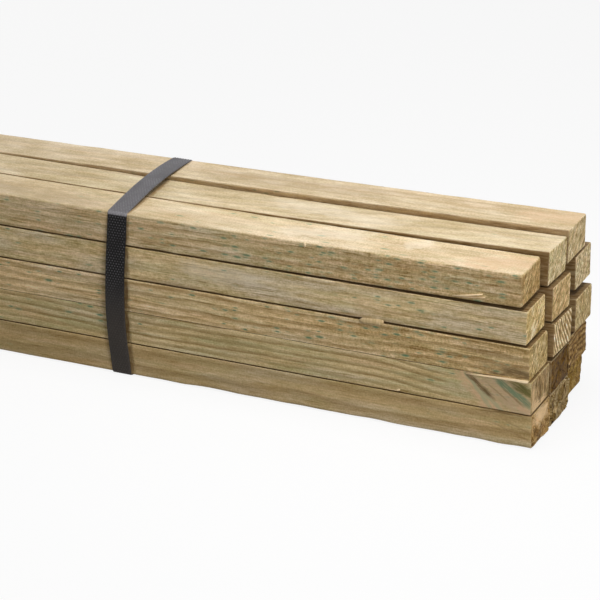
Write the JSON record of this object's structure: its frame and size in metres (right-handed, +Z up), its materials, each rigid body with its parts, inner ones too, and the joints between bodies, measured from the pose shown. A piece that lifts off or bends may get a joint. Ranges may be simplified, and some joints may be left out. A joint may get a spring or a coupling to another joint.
{
  "type": "bundle of pine studs",
  "caption": "Stack of long sawn pine studs with eased edges, lying three wide and five high, held together by plastic straps near both ends",
  "frame": {"origin": "middle of the bundle's box, on the level the straps rest on", "axes": "X along the studs, +X towards the end seen in the picture; Y across the bundle, -Y is the long side seen in the picture; Z up"},
  "size_m": [1.811, 0.1506, 0.1445],
  "materials": {
    "pine": "sawn, pressure treated, unpainted",
    "strap": "embossed polypropylene"
  },
  "bodies": {
    "root": {"stud_top_front": "pine", "stud_top_middle": "pine", "stud_top_rear": "pine", "stud_upper_front": "pine", "stud_upper_middle": "pine", "stud_upper_rear": "pine", "stud_centre_front": "pine", "stud_centre_middle": "pine", "stud_centre_rear": "pine", "stud_lower_front": "pine", "stud_lower_middle": "pine", "stud_lower_rear": "pine", "stud_bottom_front": "pine", "stud_bottom_middle": "pine", "stud_bottom_rear": "pine", "strap_left": "strap", "strap_right": "strap"}
  },
  "joints": []
}
